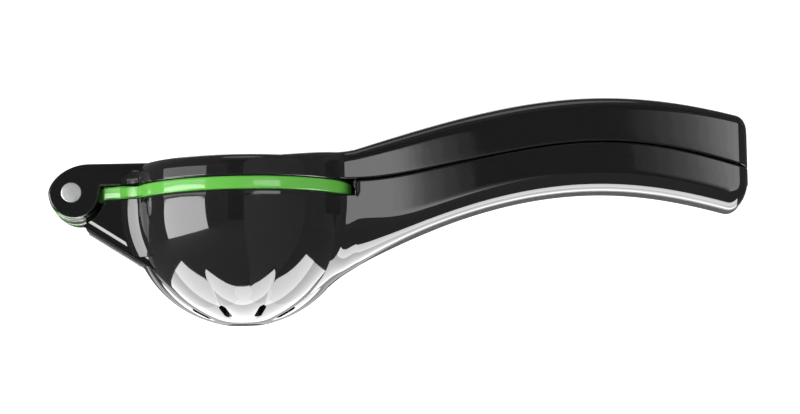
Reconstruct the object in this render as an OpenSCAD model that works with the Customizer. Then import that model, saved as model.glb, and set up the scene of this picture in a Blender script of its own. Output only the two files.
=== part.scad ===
// Citrus squeezer with three hinged leaves: a slotted bowl arm below, a green strainer cup
// in the middle and a press arm above. The origin is the middle of the bowl's small flat
// foot, +X runs towards the handles and +Z is up, with the squeezer closed.

/* [Bowl] */
// Outer radius of the bowl
bowl_r = 37; // [33:0.5:41]
// Wall of the bowl
bowl_wall = 3; // [2.4:0.1:4]
// Straight band of wall between the round of the bowl and its rim
rim_band = 3.9; // [3:0.1:6]
// Radius of the flat foot under the bowl
foot_r = 6; // [4:0.5:9]
// Number of drain slots
slot_count = 8; // [5:1:10]
// Inner end of a drain slot, from the bowl's axis
slot_start = 11.5; // [9:0.5:12.5]
// Length of a drain slot
slot_l = 6.5; // [4:0.5:9]
// Width of a drain slot
slot_w = 2.4; // [1.6:0.1:3]

/* [Middle cup] */
// Outer radius of the strainer cup
cup_r = 28.5; // [26:0.5:30]
// Wall of the strainer cup
cup_wall = 2.4; // [1.8:0.1:3]
// Thickness of the cup's rim flange
flange_t = 4.25; // [3.5:0.05:5]
// Number of juice slots in the cup
cup_slot_count = 8; // [6:1:10]
// Inner end of a juice slot, from the cup's axis
cup_slot_start = 6; // [4:0.5:8]
// Length of a juice slot
cup_slot_l = 9; // [6:0.5:12]
// Width of a juice slot
cup_slot_w = 2.2; // [1.6:0.1:2.8]
// Radius of the cup's middle hole
cup_hole_r = 2.2; // [1.5:0.1:3]

/* [Press] */
// Thickness of the press arm's lid
lid_t = 7.35; // [6:0.05:9]
// Radius of the lid's upper edge
lid_edge = 3; // [2:0.25:4]
// Radius of the press dome
dome_r = 20.5; // [18:0.5:22]
// Wall of the press dome
dome_wall = 3; // [2.4:0.1:4]
// Height of the ribs on the press dome
dome_rib_h = 1.2; // [0.6:0.1:1.6]
// Number of ribs on the press dome
dome_rib_count = 8; // [6:1:10]
// Widening of the press dome's hollow at its mouth
dish_flare = 5.5; // [3:0.5:7]

/* [Hinge] */
// Distance from the bowl's axis to the hinge pin
hinge_reach = 55.2; // [54:0.1:62]
// Height of the hinge pin above the bowl's rim
pin_rise = 2.6; // [2:0.1:3.2]
// Radius of the hinge pin
pin_r = 3.4; // [2.8:0.1:3.9]
// Width of the hinge over both ears
hinge_w = 30; // [28:0.5:34]
// Thickness of one ear of the press arm
ear_t = 4.25; // [3.5:0.05:5]
// Radius of the ears' lower half
ear_r = 8.4; // [8:0.1:9]
// Radius of the cup's and the bowl arm's knuckles
knuckle_r = 8.2; // [7.6:0.1:8.6]
// Width of the bowl arm's middle knuckle
mid_knuckle_w = 9.3; // [8:0.1:11]
// Wall of a nylon bush
bush_wall = 1.1; // [0.8:0.05:1.4]
// Thickness of a nylon washer
washer_t = 0.4; // [0.3:0.05:0.6]
// Slope of the hinge bracket's lower edge, in degrees
bracket_slope = 32.8; // [28:0.2:36]
// Distance of the bracket's lower edge below the pin's axis
bracket_drop = 7.3; // [6:0.1:8]
// Thickness of the bracket's side plates
plate_t = 3.4; // [2.8:0.1:4]

/* [Handles] */
// Distance from the bowl's axis to the end of the handles
handle_reach = 165.4; // [150:0.2:185]
// Height of the parting between the handles above the bowl's rim, at the neck
neck_rise = 6.2; // [5.6:0.1:7.5]
// Rise of the handles' arch above the neck
arch_rise = 9.9; // [6:0.1:13]
// Width of a handle along the grip
handle_w = 24.8; // [22:0.2:28]
// Width of the neck where it leaves the bowl
neck_w = 33.2; // [30:0.2:36]
// Thickness of the upper handle
upper_t = 15.6; // [14:0.2:18]
// Thickness of the lower handle
lower_t = 16.2; // [14:0.2:18]
// Depth of the neck where it leaves the bowl
neck_depth = 28.2; // [27:0.2:31]
// Radius of the handles' ends, seen from above
end_r = 4; // [3:0.5:7]
// Wall of the hollow handles
handle_wall = 2.8; // [2.4:0.1:3.4]
// Thickness of a rib inside the handles
rib_t = 1.8; // [1.4:0.1:2.4]
// Number of hollow cells between the ribs
cell_count = 7; // [5:1:9]
// Radius of a rubber bumper's head
bumper_r = 3.4; // [2.8:0.1:4]

/* [Clearances] */
// Gap between stacked leaves
leaf_gap = 0.15; // [0.1:0.05:0.3]
// Gap between the two handles
handle_gap = 0.4; // [0.3:0.05:0.6]
// Radial clearance of the pin in its bushes
running_gap = 0.05; // [0.03:0.01:0.08]
// Side clearance of a washer
washer_gap = 0.1; // [0.08:0.01:0.15]
// Clearance between the rim flange and the pocket that holds it
pocket_gap = 0.4; // [0.3:0.05:0.6]

/* [Hidden] */
$fn = 96;

gloss_black = "#202123";
lime_green = "#6cc93c";
steel_grey = "#b9bbbe";
nylon_white = "#e8e6dc";
rubber_black = "#2b2b2b";

// Heights, from the foot upwards
bowl_z = sqrt(bowl_r * bowl_r - foot_r * foot_r);
rim_z = bowl_z + rim_band;
flange_z = rim_z + leaf_gap;
lid_z = flange_z + flange_t + leaf_gap;
lid_top = lid_z + lid_t;
neck_z = rim_z + neck_rise;
pin_x = -hinge_reach;
pin_z = rim_z + pin_rise;

// Places across the hinge, from the middle outwards
mid_half = mid_knuckle_w / 2;
inner_washer_y = mid_half + washer_gap;
cup_knuckle_y = inner_washer_y + washer_t + washer_gap;
ear_y = hinge_w / 2 - ear_t;
outer_washer_y = ear_y - washer_gap - washer_t;
cup_knuckle_end = outer_washer_y - washer_gap;
bush_r = pin_r + running_gap + bush_wall;
washer_r = bush_r + 1.6;

// The ears' front ends lie a little off the pin's axis
ear_shift = 0.9;
ear_nose = 13.5;
ear_nose_power = 1.2;
sweep_r = ear_r + ear_shift + 2;
arm_start_x = pin_x + ear_r + ear_shift + 1.1;

// Handle profiles are curves over the way from the bowl's side, 0, to the handles' end, 1
handle_l = handle_reach - bowl_r;
arch_shape = [0, 0, 0.75, 1.75, 0.88, 0.06];
neck_spread = (neck_w - handle_w) / 2;
half_widths = [for (k = [1, 0.03, -0.1, 0, 0.14, -0.3]) handle_w / 2 + k * neck_spread];
neck_drop = neck_depth - lower_t;
depths = [for (k = [1, -0.26, -0.2, 0.08, -0.05, -0.07]) lower_t + k * neck_drop];
upper_neck = 7;
thicknesses = [for (k = [-0.96, 0.08, 0.14, 0.04, -0.43, 0.09, 0.11]) upper_t + k * upper_neck];

// The handles' own shapes start inside the round leaves
cavity_r = bowl_r - bowl_wall;
neck_start = cavity_r - 11;
block_end = 7 - bowl_r;
first_station = bowl_r - 0.2;
station_step = 2.6;
grip_station = bowl_r + 19;

// The upper handle starts as a low ramp on the lid
ramp_x = bowl_r - 16;
ramp_rise = neck_z + thicknesses[0] - lid_top;
rim_round = 0.7;

function clamp(v, low, high) = min(max(v, low), high);
function way(x) = (x - bowl_r) / handle_l;

// Point at t on the Bezier curve with the control values c
function curve(c, t) =
    len(c) == 1 ? c[0] : curve([for (i = [0:len(c) - 2]) c[i] * (1 - t) + c[i + 1] * t], t);

// The same curve, carried on straight before its start
function curve_on(c, t) = t < 0 ? c[0] + (len(c) - 1) * (c[1] - c[0]) * t : curve(c, t);

// How far an outline with an oval end, l long and h high, draws in at x
function end_inset(x, l, h) =
    let(d = clamp(x - (handle_reach - l), 0, l) / l) h * (1 - sqrt(1 - d * d));

function parting_z(x) = neck_z + arch_rise * curve(arch_shape, max(way(x), 0));
function handle_half(x) = curve_on(half_widths, way(x)) - end_inset(x, end_r, end_r);
function handle_depth(x) = curve_on(depths, way(x));

// Distance from the corner (0, 0) to a box with one rounded corner, in the direction a
function box_ray(w, h, r, a) =
    let(c = cos(a), s = sin(a), m = [w - r, h - r], b = m * [c, s])
    s * w <= c * (h - r) ? w / c
    : c * h <= s * (w - r) ? h / s
    : b + sqrt(max(b * b - m * m + r * r, 0));

// One outline of a lofted leaf, mirrored from its half, as points across the arm at x
function ring(x, half) = concat(
    [for (p = half) [x, p[0], p[1]]],
    [for (i = [len(half) - 2:-1:1]) [x, -half[i][0], half[i][1]]]
);

function cap_middle(r) = (r[0] + r[len(r) / 2]) / 2;

module loft(rings) {
    n = len(rings);
    m = len(rings[0]);
    last = (n - 1) * m;
    polyhedron(
        points = concat([for (r = rings) for (p = r) p], [cap_middle(rings[0]), cap_middle(rings[n - 1])]),
        faces = concat(
            [for (j = [0:m - 1]) [n * m, (j + 1) % m, j]],
            [for (i = [0:n - 2]) for (j = [0:m - 1])
                let(a = i * m + j, b = i * m + (j + 1) % m)
                each [[a, b + m, a + m], [a, b, b + m]]],
            [for (j = [0:m - 1]) [n * m + 1, last + j, last + (j + 1) % m]]
        ),
        convexity = 10
    );
}

// Turns a profile drawn in X and Z into a solid across the arm, from y0 to y1
module across(y0, y1) {
    translate([0, y1, 0])
        rotate([90, 0, 0])
            linear_extrude(y1 - y0)
                children();
}

module both_sides() {
    children();
    mirror([0, 1, 0])
        children();
}

module barrel(r, y0, y1, x = pin_x, z = pin_z) {
    across(y0, y1)
        translate([x, z])
            circle(r);
}

module pin_ring(r_in, r_out, y0, y1) {
    across(y0, y1)
        translate([pin_x, pin_z])
            difference() {
                circle(r_out);
                circle(r_in);
            }
}

// Bowl arm

round_steps = 4;
ray_steps = 14;
bracket_half = hinge_w / 2;
deck_t = 3.4;
end_lower_l = 7.5;
end_lower_h = 13;

function bracket_z(x) =
    pin_z - (x - pin_x) * tan(bracket_slope) - bracket_drop / cos(bracket_slope);
function ray_z(x) = rim_z + 1 + arch_rise * curve(arch_shape, max(way(x), 0));
function lower_corner(x) = 6.5 + 5.5 * exp(-max(way(x), 0) / 0.12);
function lower_top(x) = parting_z(x) - handle_gap / 2;

// Size of the bowl arm's handle across x, in the direction a below level
function neck_reach(x, a) =
    let(
        half = handle_half(x),
        deep = handle_depth(x) - (parting_z(x) - ray_z(x)) - end_inset(x, end_lower_l, end_lower_h),
        corner = min(lower_corner(x), half - 0.5, deep - 0.5)
    )
    box_ray(half, deep, corner, a);

function neck_half_ring(x) =
    let(side = neck_reach(x, 0), top = lower_top(x), e = rim_round)
    concat(
        [[0, top]],
        [for (i = [0:round_steps - 1])
            let(a = 90 - 90 * i / (round_steps - 1))
            [side - e + e * cos(a), top - e + e * sin(a)]],
        [for (i = [0:ray_steps])
            let(a = 90 * i / ray_steps, r = neck_reach(x, a))
            [r * cos(a), ray_z(x) - r * sin(a)]]
    );

grip_stations = concat(
    [for (i = [0:6]) first_station + i * station_step],
    [for (i = [0:15]) grip_station + (handle_reach - end_lower_l - 1 - grip_station) * i / 15],
    [for (a = [12:13:90]) handle_reach - end_lower_l + end_lower_l * sin(min(a, 78))]
);

module slot_profile(start, length, width) {
    translate([start + width / 2, -width / 2])
        square([length - width, width]);
    for (x = [start + width / 2, start + length - width / 2])
        translate([x, 0])
            circle(width / 2);
}

module slots(count, start, length, width, height) {
    for (i = [0:count - 1])
        rotate(360 * (i + 0.5) / count)
            linear_extrude(height)
                slot_profile(start, length, width);
}

module bowl_body() {
    rotate_extrude()
        intersection() {
            union() {
                translate([0, bowl_z])
                    circle(bowl_r);
                translate([0, bowl_z])
                    square([bowl_r, rim_band + 5]);
            }
            square([bowl_r + 1, rim_z]);
        }
}

module bowl_cavity() {
    rotate_extrude() {
        intersection() {
            translate([0, bowl_z])
                circle(cavity_r);
            square([cavity_r, bowl_z + 1]);
        }
        translate([0, bowl_z])
            square([cavity_r, rim_band + neck_rise + 3]);
    }
}

// Side view of the hinge bracket, from the pin into the bowl's wall
module bracket_side(x0) {
    x1 = 10 - bowl_r;
    polygon([[x0, rim_z], [x1, rim_z], [x1, bracket_z(x1)], [x0, bracket_z(x0)]]);
}

// Two side plates under a deck, and a middle rib that ends in the knuckle
module bracket() {
    difference() {
        union() {
            both_sides()
                across(bracket_half - plate_t, bracket_half)
                    bracket_side(pin_x + 5);
            translate([pin_x + 5, -bracket_half + plate_t / 2, rim_z - deck_t])
                cube([hinge_reach - bowl_r + 3, hinge_w - plate_t, deck_t]);
        }
        barrel(sweep_r, -hinge_w, hinge_w);
    }
    across(-mid_half, mid_half)
        bracket_side(pin_x + 4);
    barrel(knuckle_r, -mid_half, mid_half);
}

cell_start = bowl_r + 21;
cell_end = handle_reach - handle_wall - 3.5;
cell_pitch = (cell_end - cell_start + rib_t) / cell_count;
cell_half = handle_w / 2 - handle_wall - 1.2;
rib_drop = 3;

// Hollow cells of a handle, in X and Z: side 1 is the lower handle and -1 the upper one
module cell_profile(i, side) {
    x0 = cell_start + i * cell_pitch;
    x1 = x0 + cell_pitch - rib_t;
    steps = 5;
    polygon(concat(
        [for (k = [0:steps]) let(x = x0 + (x1 - x0) * k / steps)
            [x, parting_z(x) + side * rib_drop]],
        [for (k = [steps:-1:0]) let(x = x0 + (x1 - x0) * k / steps)
            [x, cell_floor(x, side)]]
    ));
}

function cell_floor(x, side) =
    side > 0 ? parting_z(x) - handle_depth(x) + handle_wall : upper_top(x) - handle_wall;

module mouth_profile(side) {
    steps = 24;
    polygon(concat(
        [for (k = [0:steps]) let(x = cell_start + (cell_end - cell_start) * k / steps)
            [x, parting_z(x) + side * 3]],
        [for (k = [steps:-1:0]) let(x = cell_start + (cell_end - cell_start) * k / steps)
            [x, parting_z(x) - side * rib_drop]]
    ));
}

module handle_hollow(side) {
    across(-cell_half, cell_half) {
        mouth_profile(side);
        for (i = [0:cell_count - 1])
            cell_profile(i, side);
    }
}

// The two bumper seats stand on the ribs next to the ends of the lower handle
bumper_x = [cell_start + 2 * cell_pitch - rib_t / 2, cell_start + (cell_count - 1) * cell_pitch - rib_t / 2];
bumper_stem_r = 1.8;
bumper_stem_l = 4;
bumper_head_h = 2 * rib_drop - 1.8 - leaf_gap;
bumper_seat_r = bumper_r + 0.6;

module bumper_posts(side) {
    for (x = bumper_x) {
        low = side > 0 ? cell_floor(x, side) - 0.5 : parting_z(x) + rib_drop - 1.4;
        high = side > 0 ? parting_z(x) - rib_drop + 0.4 : cell_floor(x, side) + 0.5;
        translate([x, 0, low])
            cylinder(h = high - low, r = bumper_seat_r);
    }
}

module lower_arm() {
    color(gloss_black)
        difference() {
            union() {
                difference() {
                    union() {
                        bowl_body();
                        difference() {
                            loft([for (x = concat([neck_start], grip_stations)) ring(x, neck_half_ring(x))]);
                            translate([0, -bowl_r, rim_z - 1])
                                cube([bowl_r + pocket_gap, 2 * bowl_r, 20]);
                        }
                        bracket();
                    }
                    bowl_cavity();
                    handle_hollow(1);
                }
                bumper_posts(1);
            }
            barrel(bush_r, -mid_half - 1, mid_half + 1);
            translate([0, 0, -2])
                slots(slot_count, slot_start, slot_l, slot_w, 12);
            for (x = bumper_x)
                translate([x, 0, parting_z(x) - rib_drop - bumper_stem_l])
                    cylinder(h = bumper_stem_l + 2, r = bumper_stem_r);
        }
}

// Strainer cup

flange_round = 0.8;

module flange_profile() {
    r = flange_round;
    translate([cup_r - cup_wall, flange_z])
        square([bowl_r - cup_r + cup_wall - r, flange_t]);
    translate([bowl_r - r - 0.5, flange_z + r])
        square([r + 0.5, flange_t - 2 * r]);
    for (z = [flange_z + r, flange_z + flange_t - r])
        translate([bowl_r - r, z])
            circle(r);
}

module cup_shell_profile() {
    intersection() {
        translate([0, flange_z])
            difference() {
                circle(cup_r);
                circle(cup_r - cup_wall);
            }
        square([cup_r + 1, flange_z + 0.5]);
    }
}

heel_x = -sqrt(bowl_r * bowl_r - hinge_w * hinge_w / 4);

// Plan of the hollow corner where a hinge arm meets the round leaf
module hinge_corner() {
    half = hinge_w / 2;
    blend_r = 6;
    difference() {
        polygon([[heel_x - 4.5, half - 1], [heel_x - 4.5, half], [heel_x + 4, half + 4.6],
                 [heel_x + 4, half - 1]]);
        translate([heel_x - 4.5, half + blend_r])
            circle(blend_r);
    }
}

// Plan of one hinge arm of the cup and the solid heel that joins it to the flange
module cup_arm_plan() {
    half = hinge_w / 2;
    translate([arm_start_x, cup_knuckle_y])
        square([heel_x + 4 - arm_start_x, half - cup_knuckle_y]);
    translate([pin_x, cup_knuckle_y])
        square([arm_start_x - pin_x + 1, cup_knuckle_end - cup_knuckle_y]);
    translate([pin_x + sweep_r, 0])
        square([-bowl_r + 4 - pin_x - sweep_r, cup_knuckle_y + 1]);
    hinge_corner();
}

module middle_cup() {
    color(lime_green)
        difference() {
            union() {
                rotate_extrude() {
                    flange_profile();
                    cup_shell_profile();
                }
                difference() {
                    translate([0, 0, flange_z])
                        linear_extrude(flange_t)
                            both_sides()
                                cup_arm_plan();
                    cylinder(h = 3 * lid_top, r = bowl_r - 1);
                }
                both_sides()
                    barrel(knuckle_r, cup_knuckle_y, cup_knuckle_end);
            }
            both_sides()
                barrel(bush_r, cup_knuckle_y - 1, cup_knuckle_end + 1);
            translate([0, 0, flange_z - cup_r - 1]) {
                slots(cup_slot_count, cup_slot_start, cup_slot_l, cup_slot_w, 10);
                cylinder(h = 10, r = cup_hole_r);
            }
        }
}

// Press arm

upper_round_steps = 3;
edge_steps = 6;
end_upper_r = 3.2;

function upper_top(x) =
    x < ramp_x ? lid_top - 1.2
    : x < bowl_r ? lid_top + ramp_rise * pow((x - ramp_x + 7.5) / (bowl_r - ramp_x + 7.5), 1.2)
    : parting_z(x) + curve(thicknesses, way(x));
// The upper edge is widest half way along the handle and square again at the grip
function upper_edge(x) =
    let(u = max(way(x), 0)) lid_edge + 17 * u * pow(1 - min(u, 1), 1.6);

function upper_half_ring(x) =
    let(
        w = handle_half(x),
        base = parting_z(x) + handle_gap / 2,
        top = upper_top(x) - end_inset(x, end_upper_r, end_upper_r),
        e = rim_round,
        r = min(upper_edge(x), top - base - e - 0.5, w - 1)
    )
    concat(
        [[0, top]],
        [for (i = [0:edge_steps]) let(a = 90 - 90 * i / edge_steps)
            [w - r + r * cos(a), top - r + r * sin(a)]],
        [for (i = [0:upper_round_steps]) let(a = 90 * i / upper_round_steps)
            [w - e + e * cos(a), base + e - e * sin(a)]],
        [[0, base]]
    );

ramp_stations = [for (i = [0:4]) ramp_x - 1.5 + 3.5 * i];

// The round lid with its soft upper edge
module lid() {
    r = lid_edge;
    translate([0, 0, lid_z])
        rotate_extrude()
            intersection() {
                union() {
                    square([bowl_r - r, lid_t]);
                    square([bowl_r, lid_t - r]);
                    translate([bowl_r - r, lid_t - r])
                        circle(r);
                }
                square([bowl_r + 1, lid_t + 1]);
            }
}

// Side view of the hinge block: a long round nose above, a half circle below
module hinge_block_side() {
    cx = pin_x + ear_shift;
    nose_x = cx - ear_r + ear_nose;
    nose_h = lid_top - pin_z;
    steps = 12;
    polygon(concat(
        [[block_end, lid_top]],
        [for (i = [0:steps]) let(a = 90 + 90 * i / steps)
            [nose_x + ear_nose * cos(a), pin_z + nose_h * pow(sin(a), ear_nose_power)]],
        [for (i = [1:2 * steps]) let(a = 180 + 90 * i / steps)
            [cx + ear_r * cos(a), pin_z + ear_r * sin(a)]],
        [[cx + ear_r + 0.4, lid_z], [block_end, lid_z]]
    ));
}

module hinge_block() {
    difference() {
        across(-hinge_w / 2, hinge_w / 2)
            hinge_block_side();
        barrel(sweep_r, -ear_y, ear_y);
    }
    both_sides()
        translate([0, 0, lid_z])
            linear_extrude(lid_t - lid_edge / 2)
                hinge_corner();
}

module press_dome() {
    translate([0, 0, lid_z + 0.5])
        rotate_extrude()
            intersection() {
                circle(dome_r);
                translate([0, -dome_r])
                    square([dome_r, dome_r]);
            }
    rib_angle = 7;
    for (i = [0:dome_rib_count - 1])
        translate([0, 0, lid_z + 0.5])
            rotate(360 * (i + 0.5) / dome_rib_count - rib_angle / 2)
                rotate_extrude(angle = rib_angle)
                    intersection() {
                        circle(dome_r + dome_rib_h);
                        translate([5, -dome_r - 2])
                            square([dome_r, dome_r + 2]);
                    }
}

module press_dish() {
    inner = dome_r - dome_wall;
    translate([0, 0, lid_z + 0.5])
        rotate_extrude() {
            intersection() {
                circle(inner);
                translate([0, -inner])
                    square([inner, inner + 1]);
            }
            polygon([[0, 0], [inner, 0], [inner + dish_flare, lid_t + 1], [0, lid_t + 1]]);
        }
}

module upper_arm() {
    color(gloss_black)
        difference() {
            union() {
                difference() {
                    union() {
                        loft([for (x = concat(ramp_stations, grip_stations)) ring(x, upper_half_ring(x))]);
                        lid();
                    }
                    handle_hollow(-1);
                }
                hinge_block();
                press_dome();
                bumper_posts(-1);
            }
            press_dish();
            barrel(pin_r, -hinge_w, hinge_w);
        }
}

// Hinge pin, bushes and washers

module hinge_pin() {
    chamfer = 0.5;
    color(steel_grey)
        translate([pin_x, hinge_w / 2, pin_z])
            rotate([90, 0, 0])
                rotate_extrude()
                    polygon([
                        [0, 0], [pin_r - chamfer, 0], [pin_r, chamfer],
                        [pin_r, hinge_w - chamfer], [pin_r - chamfer, hinge_w], [0, hinge_w]
                    ]);
}

module lower_bush() {
    color(nylon_white)
        pin_ring(pin_r + running_gap, bush_r, -mid_half, mid_half);
}

module near_cup_bush() {
    color(nylon_white)
        pin_ring(pin_r + running_gap, bush_r, -cup_knuckle_end, -cup_knuckle_y);
}

module far_cup_bush() {
    color(nylon_white)
        pin_ring(pin_r + running_gap, bush_r, cup_knuckle_y, cup_knuckle_end);
}

module washer(y0) {
    color(nylon_white)
        pin_ring(pin_r + running_gap, washer_r, y0, y0 + washer_t);
}

module near_outer_washer() {
    washer(-outer_washer_y - washer_t);
}

module near_inner_washer() {
    washer(-inner_washer_y - washer_t);
}

module far_inner_washer() {
    washer(inner_washer_y);
}

module far_outer_washer() {
    washer(outer_washer_y);
}

// Rubber bumpers with a round stem in the lower handle's posts
module handle_bumpers() {
    color(rubber_black)
        for (x = bumper_x) {
            z = parting_z(x) - rib_drop + 0.4;
            translate([x, 0, z])
                cylinder(h = bumper_head_h, r = bumper_r);
            translate([x, 0, z - bumper_stem_l + 0.6])
                cylinder(h = bumper_stem_l, r = bumper_stem_r);
        }
}

lower_arm();
middle_cup();
upper_arm();
hinge_pin();
lower_bush();
near_cup_bush();
far_cup_bush();
near_outer_washer();
near_inner_washer();
far_inner_washer();
far_outer_washer();
handle_bumpers();
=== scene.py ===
# Citrus squeezer with three hinged leaves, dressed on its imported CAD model.
# Sizes in the property groups are millimetres, and every mesh is written in metres.
import math

import bmesh
import bpy
from mathutils import Matrix, Vector


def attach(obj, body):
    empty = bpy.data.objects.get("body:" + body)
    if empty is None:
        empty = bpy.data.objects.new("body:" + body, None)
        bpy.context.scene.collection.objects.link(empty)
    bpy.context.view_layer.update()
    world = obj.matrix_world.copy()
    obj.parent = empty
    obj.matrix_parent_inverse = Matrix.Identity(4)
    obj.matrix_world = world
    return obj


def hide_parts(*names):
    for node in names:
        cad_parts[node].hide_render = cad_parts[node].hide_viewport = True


bl_info = {
    "name": "Citrus squeezer",
    "version": (1, 0, 0),
    "blender": (4, 5, 0),
    "location": "3D View > Sidebar > Squeezer",
    "description": "Builds a three-leaf citrus squeezer, its finishes and a small studio",
    "category": "Object",
}

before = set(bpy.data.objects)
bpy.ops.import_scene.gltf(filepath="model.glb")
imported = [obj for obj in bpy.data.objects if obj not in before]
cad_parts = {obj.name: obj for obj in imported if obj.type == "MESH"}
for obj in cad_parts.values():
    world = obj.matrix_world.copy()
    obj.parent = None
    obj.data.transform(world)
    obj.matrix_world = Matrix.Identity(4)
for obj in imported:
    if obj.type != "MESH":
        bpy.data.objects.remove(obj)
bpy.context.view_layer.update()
MM = 0.001


# Sizes and colours


def length(name, text, default):
    return bpy.props.FloatProperty(name=name, description=text + ", in mm", default=default,
                                   min=0.0, max=400.0)


def number(name, text, default, low=3, high=16):
    return bpy.props.IntProperty(name=name, description=text, default=default, min=low, max=high)


def colour(name, text, default):
    return bpy.props.StringProperty(name=name, description=text, default=default)


class BowlSizes(bpy.types.PropertyGroup):
    radius: length("Bowl radius", "Outer radius of the bowl", 37.0)
    wall: length("Bowl wall", "Wall of the bowl", 3.0)
    band: length("Rim band", "Straight band between the round and the rim", 3.9)
    foot: length("Foot radius", "Radius of the flat foot", 6.0)
    slots: number("Drain slots", "Number of drain slots", 8)
    slot_start: length("Slot start", "Inner end of a slot from the axis", 11.5)
    slot_length: length("Slot length", "Length of a drain slot", 6.5)
    slot_width: length("Slot width", "Width of a drain slot", 2.4)


class CupSizes(bpy.types.PropertyGroup):
    radius: length("Cup radius", "Outer radius of the strainer cup", 28.5)
    wall: length("Cup wall", "Wall of the strainer cup", 2.4)
    flange: length("Flange thickness", "Thickness of the rim flange", 4.25)
    slots: number("Juice slots", "Number of juice slots", 8)


class PressSizes(bpy.types.PropertyGroup):
    lid: length("Lid thickness", "Thickness of the press arm's lid", 7.35)
    edge: length("Lid edge", "Radius of the lid's upper edge", 3.0)
    dome: length("Dome radius", "Radius of the press dome", 20.5)
    dome_wall: length("Dome wall", "Wall of the press dome", 3.0)
    ribs: number("Dome ribs", "Number of ribs on the dome", 8)


class HingeSizes(bpy.types.PropertyGroup):
    reach: length("Hinge reach", "Distance from the bowl's axis to the pin", 55.2)
    rise: length("Pin rise", "Height of the pin above the rim", 2.6)
    pin: length("Pin radius", "Radius of the hinge pin", 3.4)
    width: length("Hinge width", "Width over both ears", 30.0)
    ear: length("Ear thickness", "Thickness of one ear", 4.25)
    ear_radius: length("Ear radius", "Radius of the ears' lower half", 8.4)
    knuckle: length("Knuckle radius", "Radius of the cup's and bowl arm's knuckles", 8.2)
    middle: length("Middle knuckle", "Width of the bowl arm's knuckle", 9.3)
    slope: bpy.props.FloatProperty(name="Bracket slope", description="Slope of the bracket's lower edge",
                                   default=math.radians(32.8), min=0.0, max=1.0, subtype="ANGLE")
    drop: length("Bracket drop", "Distance of the lower edge below the pin", 7.3)
    plate: length("Plate thickness", "Thickness of a bracket side plate", 3.4)


class HandleSizes(bpy.types.PropertyGroup):
    reach: length("Handle reach", "Distance from the bowl's axis to the handles' end", 165.4)
    neck: length("Neck rise", "Height of the parting above the rim", 6.2)
    arch: length("Arch rise", "Rise of the arch above the neck", 9.9)
    width: length("Grip width", "Width of a handle along the grip", 24.8)
    neck_width: length("Neck width", "Width where the neck leaves the bowl", 33.2)
    upper: length("Upper thickness", "Thickness of the upper handle", 15.6)
    lower: length("Lower thickness", "Thickness of the lower handle", 16.2)
    neck_depth: length("Neck depth", "Depth of the neck at the bowl", 28.2)
    wall: length("Handle wall", "Wall of the hollow handles", 2.8)
    cells: number("Cells", "Hollow cells between the ribs", 7, 2, 12)


class Finishes(bpy.types.PropertyGroup):
    black: colour("Black enamel", "Gloss enamel of both arms", "#0d0d0e")
    green: colour("Green enamel", "Gloss enamel of the strainer cup", "#4a8836")
    steel: colour("Pin steel", "Polished steel of the hinge pin", "#e2e3e4")
    nylon: colour("Nylon", "Bushes and washers", "#e6e4da")
    rubber: colour("Rubber", "Bumpers in the lower handle", "#26272a")
    paper: colour("Studio paper", "Floor of the studio", "#f4f4f2")


GROUPS = {
    "squeezer_bowl": BowlSizes,
    "squeezer_cup": CupSizes,
    "squeezer_press": PressSizes,
    "squeezer_hinge": HingeSizes,
    "squeezer_handle": HandleSizes,
    "squeezer_finish": Finishes,
}


# Profile curves, the same as in the part's source


def curve(values, t):
    """A smooth curve between its first and last value, pulled by those in between."""
    while len(values) > 1:
        values = [a + (b - a) * t for a, b in zip(values, values[1:])]
    return values[0]


def curve_on(values, t):
    """The same curve, going straight on before its start."""
    if t >= 0:
        return curve(values, t)
    return values[0] + (len(values) - 1) * (values[1] - values[0]) * t


def blend_max(a, b, k):
    """The larger value, with a fillet of about k where the two meet."""
    h = max(k - abs(a - b), 0.0) / k
    return max(a, b) + h**3 * k / 6


def ease(v, low, high):
    """Goes smoothly from 0 to 1 as v goes from low to high."""
    t = min(max((v - low) / (high - low), 0.0), 1.0)
    return t * t * (3 - 2 * t)


def box_ray(w, h, r, a):
    """Distance from the middle of a rounded box to its edge in direction a."""
    c, s = math.cos(a), math.sin(a)
    mx, mz = w - r, h - r
    if s * w <= c * mz:
        return w / c
    if c * h <= s * mx:
        return h / s
    b = mx * c + mz * s
    return b + math.sqrt(max(b * b - mx * mx - mz * mz + r * r, 0.0))


def ball_ray(rho, d, a):
    """Distance to the edge of a round bowl's section, whose centre lies d below."""
    c, s = math.cos(a), math.sin(a)
    if rho <= 0:
        return 0.0
    if d * c >= rho * s:
        return rho / max(c, 0.001)
    return d * s + math.sqrt(max(rho * rho - d * d * c * c, 0.0))


def span(low, high, steps):
    return [low + (high - low) * i / steps for i in range(steps + 1)]


def arc(cx, cz, r, start, end, steps):
    """Points on a circle from one angle to another, both in degrees."""
    turns = [math.radians(a) for a in span(start, end, steps)]
    return [(cx + r * math.cos(a), cz + r * math.sin(a)) for a in turns]


def circle(cx, cz, r, steps):
    return arc(cx, cz, r, 0, 360 - 360 / steps, steps - 1)


def slot_outline(inner, outer, width, steps):
    """A slot with round ends that points away from the axis."""
    w = width / 2
    return arc(outer - w, 0, w, -90, 90, steps) + arc(inner + w, 0, w, 90, 270, steps)


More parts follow.
